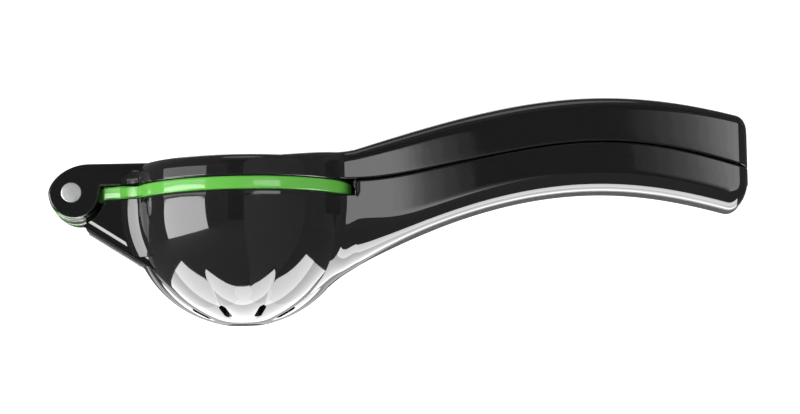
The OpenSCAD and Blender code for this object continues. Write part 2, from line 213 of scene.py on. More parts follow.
class Shape:
    """Heights and curves that several pieces share, worked out from the sizes."""

    # Pulling values of the handles' curves, from the bowl to the end
    ARCH = (0, 0, 0.75, 1.75, 0.88, 0.06)
    SPREAD = (1, 0.03, -0.1, 0, 0.1, -0.05)
    DEPTH = (1, -0.26, -0.2, 0.08, -0.05, -0.07)
    THICK = (-0.96, 0.08, 0.14, 0.04, -0.43, 0.09, 0.11)
    # Upper handle: its neck, where its ramp starts on the lid, and how its edge widens
    UPPER_NECK = 7.0
    RAMP_START = 13.5
    LID_EDGE_MORE = 1.3
    EDGE_SWELL = 17.0
    # Depth of the parting's dip at the pocket, and where the dip ends
    PARTING_DIP = 1.35
    DIP_RANGE = (34, 72)
    # Gaps between the leaves, handles, knuckles and bushes
    LEAF_GAP = 0.15
    HANDLE_GAP = 0.4
    POCKET_GAP = 0.4
    KNUCKLE_GAP = 0.6
    BUSH_GAP = 0.05
    SWEEP_GAP = 2.0
    # Rounded edges, and how far the handles' ends draw in
    RIM_ROUND = 0.7
    POCKET_ROUND = 1.3
    END_SIDE = 4.0
    END_LOWER = (7.5, 13.0)
    END_UPPER = 3.2
    # Hinge and hollows
    BUSH_WALL = 1.1
    EAR_SHIFT = 0.9
    CELL_START = 58.0
    END_WALL_MORE = 3.5
    SIDE_WALL_MORE = 1.2
    RIB = 1.8
    MOUTH = 3.0
    # Radii at the bumpers, and where their posts stop short of the mouth
    POST, HEAD, STEM = 4.0, 3.4, 1.8
    LOWER_SHORT, UPPER_SHORT = 0.4, 1.4

    def __init__(self, scene):
        self.bowl = scene.squeezer_bowl
        self.cup = scene.squeezer_cup
        self.press = scene.squeezer_press
        self.hinge = scene.squeezer_hinge
        self.handle = scene.squeezer_handle
        b, h, n = self.bowl, self.handle, self.hinge
        self.bowl_z = math.sqrt(b.radius**2 - b.foot**2)
        self.rim_z = self.bowl_z + b.band
        self.flange_z = self.rim_z + self.LEAF_GAP
        self.lid_z = self.flange_z + self.cup.flange + self.LEAF_GAP
        self.lid_top = self.lid_z + self.press.lid
        self.dome_z = self.lid_z + 0.5
        self.arm_span = (self.flange_z + 0.02, self.flange_z + self.cup.flange - 0.02)
        self.lid_edge = self.press.edge + self.LID_EDGE_MORE
        self.neck_z = self.rim_z + h.neck
        self.pin_x = -n.reach
        self.pin_z = self.rim_z + n.rise
        self.half = n.width / 2
        self.mid_half = n.middle / 2
        self.pocket_r = b.radius + self.POCKET_GAP
        self.ear_y = self.half - n.ear
        self.cup_y0 = self.mid_half + self.KNUCKLE_GAP
        self.cup_y1 = self.ear_y - self.KNUCKLE_GAP
        self.bush_r = n.pin + self.BUSH_GAP + self.BUSH_WALL
        self.sweep_r = n.ear_radius + self.EAR_SHIFT + self.SWEEP_GAP
        spread = (h.neck_width - h.width) / 2
        self.halves = [h.width / 2 + k * spread for k in self.SPREAD]
        self.depths = [h.lower + k * (h.neck_depth - h.lower) for k in self.DEPTH]
        self.thicks = [h.upper + k * self.UPPER_NECK for k in self.THICK]
        self.cell_end = h.reach - h.wall - self.END_WALL_MORE
        self.pitch = (self.cell_end - self.CELL_START + self.RIB) / h.cells
        self.cell_half = h.width / 2 - h.wall - self.SIDE_WALL_MORE
        self.bumpers = [self.CELL_START + k * self.pitch - self.RIB / 2 for k in (2, h.cells - 1)]

    def way(self, x):
        """How far along the handle x lies, from 0 at the bowl to 1 at the end."""
        return (x - self.bowl.radius) / (self.handle.reach - self.bowl.radius)

    def end_inset(self, x, long, high=None):
        """How far an outline with an oval end draws in at x."""
        d = min(max(x - (self.handle.reach - long), 0.0) / long, 1.0)
        return (high or long) * (1 - math.sqrt(1 - d * d))

    def arch(self, x):
        return self.handle.arch * curve(self.ARCH, max(self.way(x), 0.0))

    def dip(self, x):
        """How far the parting drops to meet the lid at the pocket."""
        return self.PARTING_DIP * (1 - ease(x, *self.DIP_RANGE))

    def parting(self, x):
        return self.neck_z + self.arch(x) - self.dip(x)

    def handle_half(self, x):
        return curve_on(self.halves, self.way(x)) - self.end_inset(x, self.END_SIDE)

    def disc_half(self, x):
        return math.sqrt(max(self.bowl.radius**2 - x * x, 0.0))

    def depth(self, x):
        return curve_on(self.depths, self.way(x)) - self.dip(x)

    def bracket_z(self, x):
        slope = self.hinge.slope
        return self.pin_z - (x - self.pin_x) * math.tan(slope) - self.hinge.drop / math.cos(slope)

    def upper_top(self, x):
        r, ramp = self.bowl.radius, self.RAMP_START
        if x < r:
            rise = self.neck_z + self.thicks[0] - self.lid_top
            return self.lid_top + rise * (max(x - ramp, 0.0) / (r - ramp)) ** 1.2
        return self.parting(x) + self.dip(x) + curve(self.thicks, self.way(x))

    def upper_edge(self, x):
        u = max(self.way(x), 0.0)
        swell = self.EDGE_SWELL * u * (1 - min(u, 1.0)) ** 1.6
        return self.lid_edge - self.LID_EDGE_MORE * ease(x, 37, 70) + swell

    def cell_floor(self, x, side):
        if side > 0:
            return self.parting(x) - self.depth(x) + self.handle.wall
        return self.upper_top(x) - self.handle.wall


# Mesh helpers


def put(name, data):
    obj = bpy.data.objects.new(name, data)
    bpy.context.scene.collection.objects.link(obj)
    return obj


def new_object(name, verts, faces):
    """Makes a clean mesh from points in millimetres, with its faces outward."""
    mesh = bpy.data.meshes.new(name)
    mesh.from_pydata([(x * MM, y * MM, z * MM) for x, y, z in verts], [], faces)
    bm = bmesh.new()
    bm.from_mesh(mesh)
    bmesh.ops.remove_doubles(bm, verts=bm.verts, dist=1e-6)
    bmesh.ops.recalc_face_normals(bm, faces=bm.faces)
    bm.to_mesh(mesh)
    bm.free()
    return put(name, mesh)


def revolve(name, profile, steps=192):
    """Turns (r, z) points round Z; the profile starts and ends on the axis."""
    verts, rows = [], []
    for r, z in profile:
        if r < 1e-6:
            rows.append([len(verts)] * steps)
            verts.append((0, 0, z))
            continue
        rows.append(list(range(len(verts), len(verts) + steps)))
        verts += [(r * math.cos(2 * math.pi * k / steps), r * math.sin(2 * math.pi * k / steps), z)
                  for k in range(steps)]
    faces = []
    for low, high in zip(rows, rows[1:]):
        for k in range(steps):
            m = (k + 1) % steps
            quad = [low[k], low[m], high[m], high[k]]
            face = [v for i, v in enumerate(quad) if v != quad[i - 1]]
            if len(face) > 2:
                faces.append(face)
    return new_object(name, verts, faces)


def loft(name, rings):
    """Skins closed rings of points, with a fan of faces over each end."""
    m = len(rings[0])
    verts = [p for ring in rings for p in ring]
    faces = []
    for i in range(len(rings) - 1):
        for j in range(m):
            a, b = i * m + j, i * m + (j + 1) % m
            faces.append((a, b, b + m, a + m))
    for base in (0, (len(rings) - 1) * m):
        ring = verts[base:base + m]
        verts.append(tuple(sum(p[k] for p in ring) / m for k in range(3)))
        faces += [(len(verts) - 1, base + j, base + (j + 1) % m) for j in range(m)]
    return new_object(name, verts, faces)


def prism(name, outline, low, high, across="Y", bevel=0.0, segments=3):
    """Stands an outline up between two planes and rounds the edges of both its faces."""
    if across == "Y":
        rows = [[(x, y, z) for x, z in outline] for y in (low, high)]
    else:
        rows = [[(x, y, z) for x, y in outline] for z in (low, high)]
    m = len(outline)
    faces = [tuple(range(m)), tuple(range(2 * m - 1, m - 1, -1))]
    faces += [(j, (j + 1) % m, m + (j + 1) % m, m + j) for j in range(m)]
    obj = new_object(name, rows[0] + rows[1], faces)
    if bevel:
        bm = bmesh.new()
        bm.from_mesh(obj.data)
        rims = {e for f in bm.faces if len(f.verts) == m for e in f.edges}
        bmesh.ops.bevel(bm, geom=list(rims), offset=bevel * MM, segments=segments, profile=0.5,
                        affect="EDGES", clamp_overlap=True)
        bm.to_mesh(obj.data)
        bm.free()
    return obj


def barrel(name, x, z, r, low, high, bevel=0.0):
    """A round bar that lies across the handles."""
    return prism(name, circle(x, z, r, 96), low, high, bevel=bevel)


def bake(obj):
    """Replaces live modifiers by the plain mesh that they make."""
    graph = bpy.context.evaluated_depsgraph_get()
    mesh = bpy.data.meshes.new_from_object(obj.evaluated_get(graph))
    old = obj.data
    obj.modifiers.clear()
    obj.data = mesh
    bpy.data.meshes.remove(old)
    return obj


def drop(obj):
    mesh = obj.data
    bpy.data.objects.remove(obj)
    bpy.data.meshes.remove(mesh)


def cut(obj, *tools, operation="DIFFERENCE"):
    """Cuts tools out of a piece, or joins them to it, and removes the tools."""
    for tool in tools:
        mod = obj.modifiers.new("cut", "BOOLEAN")
        mod.operation = operation
        mod.solver = "EXACT"
        mod.object = tool
    bake(obj)
    for tool in tools:
        drop(tool)
    return obj


def join(name, parts):
    bm = bmesh.new()
    for part in parts:
        bm.from_mesh(part.data)
    mesh = bpy.data.meshes.new(name)
    bm.to_mesh(mesh)
    bm.free()
    for part in parts:
        drop(part)
    return put(name, mesh)


def mirrored(obj):
    """A copy of a piece on the other side of the hinge."""
    mesh = obj.data.copy()
    mesh.transform(Matrix.Diagonal((1, -1, 1, 1)))
    mesh.flip_normals()
    return put(obj.name + "_far", mesh)


def finish_piece(obj, material, body, slot_name, *nodes):
    """Shades and paints a finished piece, and lets it stand for its CAD nodes."""
    mesh = obj.data
    mesh.polygons.foreach_set("use_smooth", [True] * len(mesh.polygons))
    mesh.set_sharp_from_angle(angle=math.radians(32))
    mesh.materials.clear()
    mesh.materials.append(material)
    mesh.polygons.foreach_set("material_index", [0] * len(mesh.polygons))
    mesh.update()
    # Flat faces keep flat reflections next to their rounded edges
    even = obj.modifiers.new("even_normals", "WEIGHTED_NORMAL")
    even.keep_sharp = True
    bake(obj)
    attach(obj, body)
    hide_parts(*nodes)


# Node helpers


def add(tree, kind, inputs=None, **settings):
    """Adds a node, sets its properties, and fills or links its inputs."""
    node = tree.nodes.new(kind)
    for key, value in settings.items():
        setattr(node, key, value)
    for key, value in (inputs or {}).items():
        if isinstance(value, bpy.types.NodeSocket):
            tree.links.new(value, node.inputs[key])
        else:
            node.inputs[key].default_value = value
    return node


def linear(hexa):
    """Takes an sRGB hex colour to linear RGBA."""
    out = []
    for i in (1, 3, 5):
        c = int(hexa[i:i + 2], 16) / 255
        out.append(c / 12.92 if c <= 0.04045 else ((c + 0.055) / 1.055) ** 2.4)
    return (*out, 1.0)


def new_material(name):
    """A material with an empty node tree, and the piece's own coordinates in it."""
    mat = bpy.data.materials.new(name)
    mat.use_nodes = True
    tree = mat.node_tree
    tree.nodes.clear()
    return mat, tree, add(tree, "ShaderNodeTexCoord").outputs["Object"]


def per_metre(size_mm):
    """Scale of a pattern on Object coordinates whose features are size_mm apart."""
    return 1 / (size_mm * MM)


def clouds(tree, where, size_mm, detail):
    return add(tree, "ShaderNodeTexNoise",
               {"Vector": where, "Scale": per_metre(size_mm), "Detail": detail}).outputs[0]


def two_tone(tree, factor, hexa, shift):
    """Two close colours mixed by a pattern."""
    return add(tree, "ShaderNodeMix", {0: factor, 6: linear(hexa), 7: linear(shift)},
               data_type="RGBA").outputs[2]


def relief(tree, height, strength, deep_mm):
    return add(tree, "ShaderNodeBump",
               {"Strength": strength, "Distance": deep_mm * MM, "Height": height}).outputs[0]


def to_range(tree, value, low, high, to_low, to_high):
    """Takes a pattern's values from low..high to another range."""
    return add(tree, "ShaderNodeMapRange", {0: value, 1: low, 2: high, 3: to_low, 4: to_high}).outputs[0]


def surface(mat, inputs):
    """Ends a material with its shader."""
    shader = add(mat.node_tree, "ShaderNodeBsdfPrincipled", inputs)
    add(mat.node_tree, "ShaderNodeOutputMaterial", {"Surface": shader.outputs[0]})
    return mat


def ring_copies():
    """Node tree that sets copies of one mesh evenly round Z."""
    tree = bpy.data.node_groups.get("ring_copies")
    if tree:
        return tree
    tree = bpy.data.node_groups.new("ring_copies", "GeometryNodeTree")
    for name, kind in (("Geometry", "Geometry"), ("Count", "Int"), ("Start", "Float"),
                       ("Material", "Material")):
        tree.interface.new_socket(name, in_out="INPUT", socket_type="NodeSocket" + kind)
    tree.interface.new_socket("Geometry", in_out="OUTPUT", socket_type="NodeSocketGeometry")
    given = add(tree, "NodeGroupInput")
    step = add(tree, "ShaderNodeMath", {0: 2 * math.pi, 1: given.outputs["Count"]}, operation="DIVIDE")
    index = add(tree, "GeometryNodeInputIndex")
    turn = add(tree, "ShaderNodeMath", {0: index.outputs[0], 1: step.outputs[0], 2: given.outputs["Start"]},
               operation="MULTIPLY_ADD")
    spin = add(tree, "ShaderNodeCombineXYZ", {"Z": turn.outputs[0]})
    line = add(tree, "GeometryNodeMeshLine", {"Count": given.outputs["Count"], "Offset": (0.0, 0.0, 0.0)})
    copies = add(tree, "GeometryNodeInstanceOnPoints",
                 {"Points": line.outputs[0], "Instance": given.outputs["Geometry"],
                  "Rotation": spin.outputs[0]})
    real = add(tree, "GeometryNodeRealizeInstances", {0: copies.outputs[0]})
    finish = add(tree, "GeometryNodeSetMaterial",
                 {"Geometry": real.outputs[0], "Material": given.outputs["Material"]})
    add(tree, "NodeGroupOutput", {0: finish.outputs[0]})
    return tree


def round_axis(obj, count, material=None):
    """Repeats a piece round the bowl's axis, from half a step on, and bakes the result."""
    tree = ring_copies()
    mod = obj.modifiers.new("copies", "NODES")
    mod.node_group = tree
    values = {"Count": count, "Start": math.pi / count, "Material": material}
    for item in tree.interface.items_tree:
        value = values.get(item.name)
        if item.in_out == "INPUT" and value is not None:
            mod[item.identifier] = value
    return bake(obj)


# Finishes


def gloss_enamel(name, hexa, shift, roughness=0.03):
    """Stove enamel on die-cast aluminium: sprayed and baked, so it has a deep even colour
    under a mirror skin, with a faint orange peel and a few soft dull marks from handling."""
    mat, tree, where = new_material(name)
    base = two_tone(tree, clouds(tree, where, 30, 2.0), hexa, shift)
    # Orange peel cells are about 2.5 mm wide and a few microns high
    peel = relief(tree, clouds(tree, where, 2.5, 1.0), 0.25, 0.012)
    dull = to_range(tree, clouds(tree, where, 12, 4.0), 0.35, 0.75, roughness, roughness + 0.03)
    return surface(mat, {"Base Color": base, "Roughness": dull, "IOR": 1.52, "Normal": peel})


def turned_steel(hexa, centre):
    """Ground and polished stainless pin: fine rings from facing on a lathe run round its end."""
    mat, tree, where = new_material("polished_stainless_steel")
    onto = add(tree, "ShaderNodeMapping", {"Vector": where, "Location": [-c for c in centre]})
    # Rings 0.35 mm apart, coarser than real facing marks so that they show
    rings = add(tree, "ShaderNodeTexWave",
                {"Vector": onto.outputs[0], "Scale": per_metre(0.35) / 20, "Distortion": 0.4, "Detail": 1.0},
                wave_type="RINGS", rings_direction="Y")
    bump = relief(tree, rings.outputs[1], 0.2, 0.004)
    rough = to_range(tree, clouds(tree, where, 0.8, 3.0), 0.3, 0.7, 0.42, 0.46)
    return surface(mat, {"Base Color": linear(hexa), "Metallic": 1.0, "Roughness": rough, "Normal": bump})


def moulded_nylon(hexa):
    """Natural nylon: injection moulded and slightly waxy, with a fine grain."""
    mat, tree, where = new_material("moulded_nylon")
    grain = clouds(tree, where, 0.6, 2.0)
    tint = two_tone(tree, grain, hexa, "#d9d6c8")
    bump = relief(tree, grain, 0.3, 0.01)
    return surface(mat, {"Base Color": tint, "Roughness": 0.42, "IOR": 1.53, "Normal": bump})


def moulded_rubber(hexa):
    """Moulded nitrile rubber: a dull skin with a fine spark-eroded grain and a dusty bloom."""
    mat, tree, where = new_material("moulded_rubber")
    grain = relief(tree, clouds(tree, where, 0.35, 3.0), 0.5, 0.03)
    bloom = two_tone(tree, clouds(tree, where, 5, 3.0), hexa, "#3a3b3d")
    return surface(mat, {"Base Color": bloom, "Roughness": 0.75, "IOR": 1.5, "Normal": grain})


def studio_paper(hexa):
    """Seamless paper sweep: matt, nearly white, with a soft fibre mottle."""
    mat, tree, where = new_material("studio_paper")
    fibre = two_tone(tree, clouds(tree, where, 8, 4.0), hexa, "#eeeeec")
    return surface(mat, {"Base Color": fibre, "Roughness": 0.9})


def studio_felt(name, hexa, shift):
    """Grey wool felt on a card: matt, with a fine fleecy mottle."""
    mat, tree, where = new_material(name)
    fleece = two_tone(tree, clouds(tree, where, 20, 3.0), hexa, shift)
    return surface(mat, {"Base Color": fleece, "Roughness": 1.0, "Specular IOR Level": 0.1})


def black_enamel(scene):
    found = bpy.data.materials.get("stoved_black_enamel")
    return found or gloss_enamel("stoved_black_enamel", scene.squeezer_finish.black, "#101011")


# Bowl arm


def bowl_shell(s):
    """The slotted bowl with its flat foot and petals, turned round its axis."""
    b = s.bowl
    inner = b.radius - b.wall
    e = 0.6
    foot_angle = math.degrees(math.asin(-s.bowl_z / b.radius))
    profile = [(0, 0), (b.foot - 0.6, 0), (b.foot - 0.2, 0.02)]
    profile += arc(0, s.bowl_z, b.radius, foot_angle + 0.6, 0, 72)
    profile += [(b.radius, s.bowl_z + 2), (b.radius, s.rim_z - e)]
    profile += arc(b.radius - e, s.rim_z - e, e, 18, 90, 4)
    profile += arc(inner + e, s.rim_z - e, e, 90, 180, 5)
    profile += [(inner, s.bowl_z + 2)] + arc(0, s.bowl_z, inner, 0, -90, 48)
    shell = press_petals(s, revolve("bowl_shell", profile, 320))
    ends = slot_outline(b.slot_start, b.slot_start + b.slot_length, b.slot_width, 12)
    slot = prism("slot_tool", ends, -2, 10, "Z")
    round_axis(slot, b.slots)
    return cut(shell, slot)


def press_petals(s, shell):
    """Presses shallow petals into the bowl's outside, with a crease through each drain slot."""
    deepest = 0.75
    middle = Vector((0, 0, s.bowl_z * MM))
    for v in shell.data.vertices:
        away = v.co - middle
        if abs(away.length / MM - s.bowl.radius) > 0.2 or away.z > -0.001:
            continue
        # The petals lie between two tilts from straight down, in degrees, and fade out there
        tilt = math.degrees(math.acos(-away.z / away.length))
        turn = math.atan2(away.y, away.x) - math.pi / s.bowl.slots
        crease = 1 - abs(math.sin(turn * s.bowl.slots / 2)) ** 0.8
        deep = deepest * ease(tilt, 12, 24) * (1 - ease(tilt, 44, 66)) * crease
        v.co -= away.normalized() * deep * MM
    return shell


def neck_ring(s, x):
    """Section of the lower handle at x: the bowl's round blended with a rounded box."""
    z = s.rim_z + 1 + s.arch(x)
    half = s.handle_half(x)
    deep = s.depth(x) - (s.parting(x) - z) - s.end_inset(x, *s.END_LOWER)
    # The lower corners are wide at the bowl and soon tighten
    corner = 6.5 + 9.5 * math.exp(-((max(s.way(x), 0.0) / 0.09) ** 1.5))
    corner = min(corner, half - 0.5, deep - 0.5)
    rho = 0.0
    if x < s.bowl.radius:
        rho = s.disc_half(x) - 0.03 - 1.0 * (1 - ease(x, 22, 33))

    def reach(a):
        box = box_ray(half, deep, corner, a)
        return blend_max(ball_ray(rho, z - s.bowl_z, a), box, 6 - 2 * math.sin(a))

    top = s.parting(x) - s.HANDLE_GAP / 2
    e = s.RIM_ROUND
    side = reach(0.0)
    ring = [(side * k / 4, top) for k in range(4)]
    ring += arc(side - e, top - e, e, 90, 0, 5)
    for a in (math.radians(t) for t in span(0, 90, 36)):
        r = reach(a)
        ring.append((r * math.cos(a), z - r * math.sin(a)))
    # The edge of the cup's pocket is rounded, above the rim only
    wall = s.pocket_r
    t = min(max((wall + s.POCKET_ROUND - x) / s.POCKET_ROUND, 0.0), 1.0)
    inset = s.POCKET_ROUND * (1 - math.sqrt(1 - t * t)) if x >= wall else s.POCKET_ROUND
    ring = [(max(y - inset * ease(h, s.rim_z - 0.4, s.rim_z + 0.7), 0.0) if y > half - 3 else y, h)
            for y, h in ring]
    return both_sides(x, ring)


def both_sides(x, ring):
    """Closes half a section, which runs from the middle plane to the middle plane."""
    return [(x, y, z) for y, z in ring] + [(x, -y, z) for y, z in ring[-2:0:-1]]


def grip_stations(s):
    """Places of the sections along the grip, closer and closer towards its end."""
    long = s.END_LOWER[0]
    start = s.handle.reach - long
    steps = 16
    ends = [start + long * math.sin(math.radians(89.2 * i / steps)) for i in range(1, steps + 1)]
    return span(62, start - 0.5, 42) + ends


def neck_loft(s):
    """Neck and lower handle, with the cup's pocket, the bowl's hollow and the cells cut out."""
    b, wall = s.bowl, s.pocket_r
    xs = span(22, 37, 15) + [wall + s.POCKET_ROUND * k for k in (0, 0.03, 0.1, 0.22, 0.4, 0.65, 1)]
    xs += span(39.5, 60, 20) + grip_stations(s)
    neck = loft("neck", [neck_ring(s, x) for x in xs])
    pocket = prism("pocket_tool", [(0, s.rim_z), (wall, s.rim_z), (wall, 90), (0, 90)], -60, 60)
    inner = b.radius - b.wall + 0.4
    hollow = revolve("hollow_tool", [(0, s.bowl_z - inner)] + arc(0, s.bowl_z, inner, -86, 0, 40)
                     + [(inner, 90), (0, 90)])
    neck = cut(neck, pocket, hollow, handle_tool(s, 1))
    # A stop in the pocket closes the slit behind the cup's flange
    near, far = b.radius + 0.12, b.radius + 3
    low, high = s.rim_z - 2, s.parting(b.radius) - 0.6
    stop = prism("pocket_stop", [(near, low), (far, low), (far, high), (near, high)], -8, 8)
    return cut(neck, stop, operation="UNION")


def handle_tool(s, side):
    """The hollow of a handle: cells between ribs, opening into one shallow mouth."""
    w = s.cell_half
    mouth = span(s.CELL_START, s.cell_end, 48)
    outline = [(x, s.parting(x) + side * 3) for x in mouth]
    outline += [(x, s.parting(x) - side * s.MOUTH) for x in reversed(mouth)]
    cells = []
    for i in range(s.handle.cells):
        x0 = s.CELL_START + i * s.pitch
        xs = span(x0, x0 + s.pitch - s.RIB, 8)
        cell = [(x, s.parting(x) + side * (s.MOUTH - 0.5)) for x in xs]
        cell += [(x, s.cell_floor(x, side)) for x in reversed(xs)]
        cells.append(prism("cell_tool", cell, -w - 0.01, w + 0.01))
    return cut(prism("mouth_tool", outline, -w, w), *cells, operation="UNION")


def bracket_parts(s):
    """Side plates, deck and middle rib of the hinge bracket, and the hollow corners at the bowl."""
    cx, cz, r = s.pin_x, s.pin_z, s.sweep_r
    slope, back = s.hinge.slope, -s.bowl.radius
    top = s.rim_z - 0.02
    a0 = math.degrees(math.asin((top - cz) / r))
    # The arc round the pin ends where it meets the sloping lower edge
    a1 = math.degrees(-slope - math.asin(s.hinge.drop / r))
    outline = arc(cx, cz, r, a1, a0, 14) + [(back + 6.5, top), (back + 8.5, s.bracket_z(back + 8.5))]
    near = prism("plate", outline, s.half - s.hinge.plate, s.half, bevel=0.5)
    # The plate steps back along its lower edge, with a bevel that catches the light
    wide, step = 2.9, 0.9
    tool = ((-wide, 0.001), (-wide, 3), (3, 3), (3, -step), (step - wide, -step))
    rows = [[(x - k * math.sin(slope), s.half + y, s.bracket_z(x) - k * math.cos(slope)) for k, y in tool]
            for x in (cx - 20, back + 12)]
    near = cut(near, loft("edge_tool", rows))
    deck = prism("deck", arc(cx, cz, r, -36, a0, 6) + [(back + 3.2, top), (back + 3.2, top - 3.4)],
                 -s.half + 1.5, s.half - 1.5)
    line = [(cx + 4, s.bracket_z(cx + 4)), (cx + 4, top), (back + 3, top), (back + 5, s.bracket_z(back + 5))]
    rib = prism("middle_rib", line, -s.mid_half + 0.02, s.mid_half - 0.02)
    rib = cut(rib, barrel("rib_tool", cx, cz, s.bush_r + 1, -9, 9))
    corner = hollow_corner(s, "corner", s.rim_z - 0.05, 21.4, True)
    knuckle = hinge_knuckle(s, "knuckle", -s.mid_half, s.mid_half)
    return [near, mirrored(near), deck, rib, knuckle, corner, mirrored(corner)]


def hinge_knuckle(s, name, low, high):
    """A knuckle with its bore; it hangs a little low, so that it shows under the ears."""
    n = s.hinge
    bar = barrel(name, s.pin_x + 0.25, s.pin_z - 0.45, n.knuckle - 0.3, low, high, bevel=0.5)
    return cut(bar, barrel("bore_tool", s.pin_x, s.pin_z, s.bush_r, low - 5, high + 5))


def hollow_corner(s, name, high, low, round_bowl, taper=0.0):
    """The concave corner between a flat hinge side and the round leaf, tangent to both."""
    widest = 9.0
    flat = s.half - 0.01
    rows = []
    for z in span(low, high, 24):
        blend = widest * (1 - taper * ease((z - low) / (high - low), 0.3, 1.0))
        big = s.bowl.radius
        if round_bowl and z < s.bowl_z:
            big = math.sqrt(s.bowl.radius**2 - (s.bowl_z - z) ** 2)
        big -= 0.01
        cx = -math.sqrt((big + blend) ** 2 - (flat + blend) ** 2)
        turn = math.degrees(math.atan2(-(flat + blend), -cx))
        pts = arc(cx, flat + blend, blend, -90, turn, 12)
        first, last = pts[0], pts[-1]
        inside = [(last[0] * 0.96, last[1] * 0.96), (first[0] * 0.9, flat - 1.6), (first[0], flat - 1.2)]
        rows.append([(x, y, z) for x, y in pts + inside])
    return loft(name, rows)


def bumper_posts(s, side):
    """Posts in the handle's hollow: the lower ones take the bumpers, the upper ones meet them."""
    posts = []
    for x in s.bumpers:
        end = s.parting(x) - side * (s.MOUTH - (s.LOWER_SHORT if side > 0 else s.UPPER_SHORT))
        low, high = sorted((s.cell_floor(x, side) - side * 0.5, end))
        post = prism("post", circle(x, 0, s.POST, 60), low, high, "Z", bevel=0.3)
        if side > 0:
            post = cut(post, prism("stem_tool", circle(x, 0, s.STEM, 36), high - 4.4, high + 2, "Z"))
        posts.append(post)
    return posts


class BowlArm(bpy.types.Operator):
    """Bowl, hinge bracket and lower handle of one enamelled casting"""

    bl_idname = "squeezer.bowl_arm"
    bl_label = "Bowl arm"

    def execute(self, context):
        s = Shape(context.scene)
        arm = join("bowl_arm", [bowl_shell(s), neck_loft(s)] + bracket_parts(s) + bumper_posts(s, 1))
        finish_piece(arm, black_enamel(context.scene), "lower_arm", "gloss_black_enamel", "lower_arm")
        return {"FINISHED"}


# Strainer cup


def cup_body(s):
    """The slotted cup with its rim flange, turned round its axis."""
    c = s.cup
    z, t, e = s.flange_z, c.flange, 0.8
    rim, inner = s.bowl.radius, c.radius - c.wall
    profile = [(0, z - c.radius)] + arc(0, z, c.radius, -88, -2, 56)
    profile += [(c.radius + 1.0, z), (rim - e, z)]
    profile += arc(rim - e, z + e, e, -90, 0, 5)[1:]
    profile += arc(rim - e, z + t - e, e, 0, 90, 5)
    profile += arc(inner + 1.2, z + t - 1.2, 1.2, 90, 180, 5)
    profile += [(inner, z + 0.5)] + arc(0, z, inner, -1, -90, 56)
    body = revolve("cup_body", profile, 256)
    low = z - c.radius - 1
    high = low + 11
    slot = prism("juice_tool", slot_outline(6, 15, 2.2, 10), low, high, "Z")
    round_axis(slot, c.slots)
    hole = prism("hole_tool", circle(0, 0, 2.2, 36), low, high, "Z")
    return cut(body, slot, hole)


def cup_arm(s):
    """One hinge arm with its knuckle, and the hollow corner that joins it to the flange."""
    z0, z1 = s.arm_span
    start, end = s.pin_x + s.hinge.ear_radius + s.EAR_SHIFT + 1.1, -30.5
    y = s.cup_y0
    outline = [(start, y), (start, s.half - 2.35), (start + 6, s.half - 0.2), (start + 7.2, s.half),
               (end, s.half), (end, y)]
    block = prism("arm_block", outline, z0, z1, "Z", bevel=0.7, segments=4)
    # A thin tongue carries the knuckle past the ear
    tongue = prism("arm_tongue", [(s.pin_x, y), (s.pin_x, y + 1.4), (start + 1, y + 1.4), (start + 1, y)],
                   z0, z1, "Z")
    tongue = cut(tongue, barrel("tongue_tool", s.pin_x, s.pin_z, s.bush_r + 1, 0, 20))
    knuckle = hinge_knuckle(s, "cup_knuckle", s.cup_y0, s.cup_y1)
    return [block, tongue, knuckle, hollow_corner(s, "cup_corner", z1 - 0.5, z0 + 0.5, False)]


class StrainerCup(bpy.types.Operator):
    """Green strainer cup with its rim flange and hinge arms"""

    bl_idname = "squeezer.strainer_cup"
    bl_label = "Strainer cup"

    def execute(self, context):
        s = Shape(context.scene)
        near = cup_arm(s)
        far = [mirrored(part) for part in near]
        # The heel fills the flange between the two arms
        x, y = s.pin_x + s.sweep_r, s.cup_y0 + 0.5
        heel = prism("heel", [(x, -y), (x, y), (-31, y), (-31, -y)], *s.arm_span, "Z")
        cup = join("strainer_cup", [cup_body(s), heel] + near + far)
        green = context.scene.squeezer_finish.green
        enamel = gloss_enamel("stoved_green_enamel", green, "#478433", 0.05)
        finish_piece(cup, enamel, "cup", "green_enamel", "middle_cup")
        return {"FINISHED"}


# Press arm


def press_lid(s):
    """Lid and hollow press dome, turned round the axis."""
    p = s.press
    r, e = s.bowl.radius, s.lid_edge
    z0, z1, mid = s.lid_z, s.lid_top, s.dome_z
    inner = p.dome - p.dome_wall
    mouth = inner + 5.5 * (z1 - mid) / (p.lid + 1)
    profile = [(0, mid - p.dome)] + arc(0, mid, p.dome, -88, -4, 56)
    profile += [(p.dome + 0.25, z0 + 0.25), (p.dome + 1.2, z0), (r - 0.6, z0)]
    profile += arc(r - 0.6, z0 + 0.6, 0.6, -90, 3, 5)[1:]
    profile += arc(r - 0.12 - e, z1 - e, e, 3, 90, 16)
    profile += [(mouth + 1.4, z1), (mouth + 0.5, z1 - 0.12), (mouth + 0.1, z1 - 0.5)]
    profile += [(inner, mid)] + arc(0, mid, inner, -2, -90, 48)
    return revolve("press_lid", profile, 256)


def dome_ribs(s, material):
    """Low ribs that run up the press dome and tear the pulp, repeated round its axis."""
    p, mid = s.press, s.dome_z
    root, height, half_turn = 0.4, 1.2, math.radians(3.6)
    rows = []
    for tilt in span(-76, -4, 36):
        lift = height * min(1.0, (tilt + 76) / 12, (-2 - tilt) / 6)
        a = math.radians(tilt)
        row = []
        for k in span(-1, 1, 8):
            turn = half_turn * k
            r = p.dome - root + (lift + root) * math.sqrt(max(1 - k * k, 0.0))
            out = r * math.cos(a)
            row.append((out * math.cos(turn), out * math.sin(turn), mid + r * math.sin(a)))
        base = [(0.94 * x, 0.94 * y, mid + 0.94 * (z - mid)) for x, y, z in (row[-1], row[0])]
        rows.append(row + base)
    return round_axis(loft("dome_rib", rows), p.ribs, material)


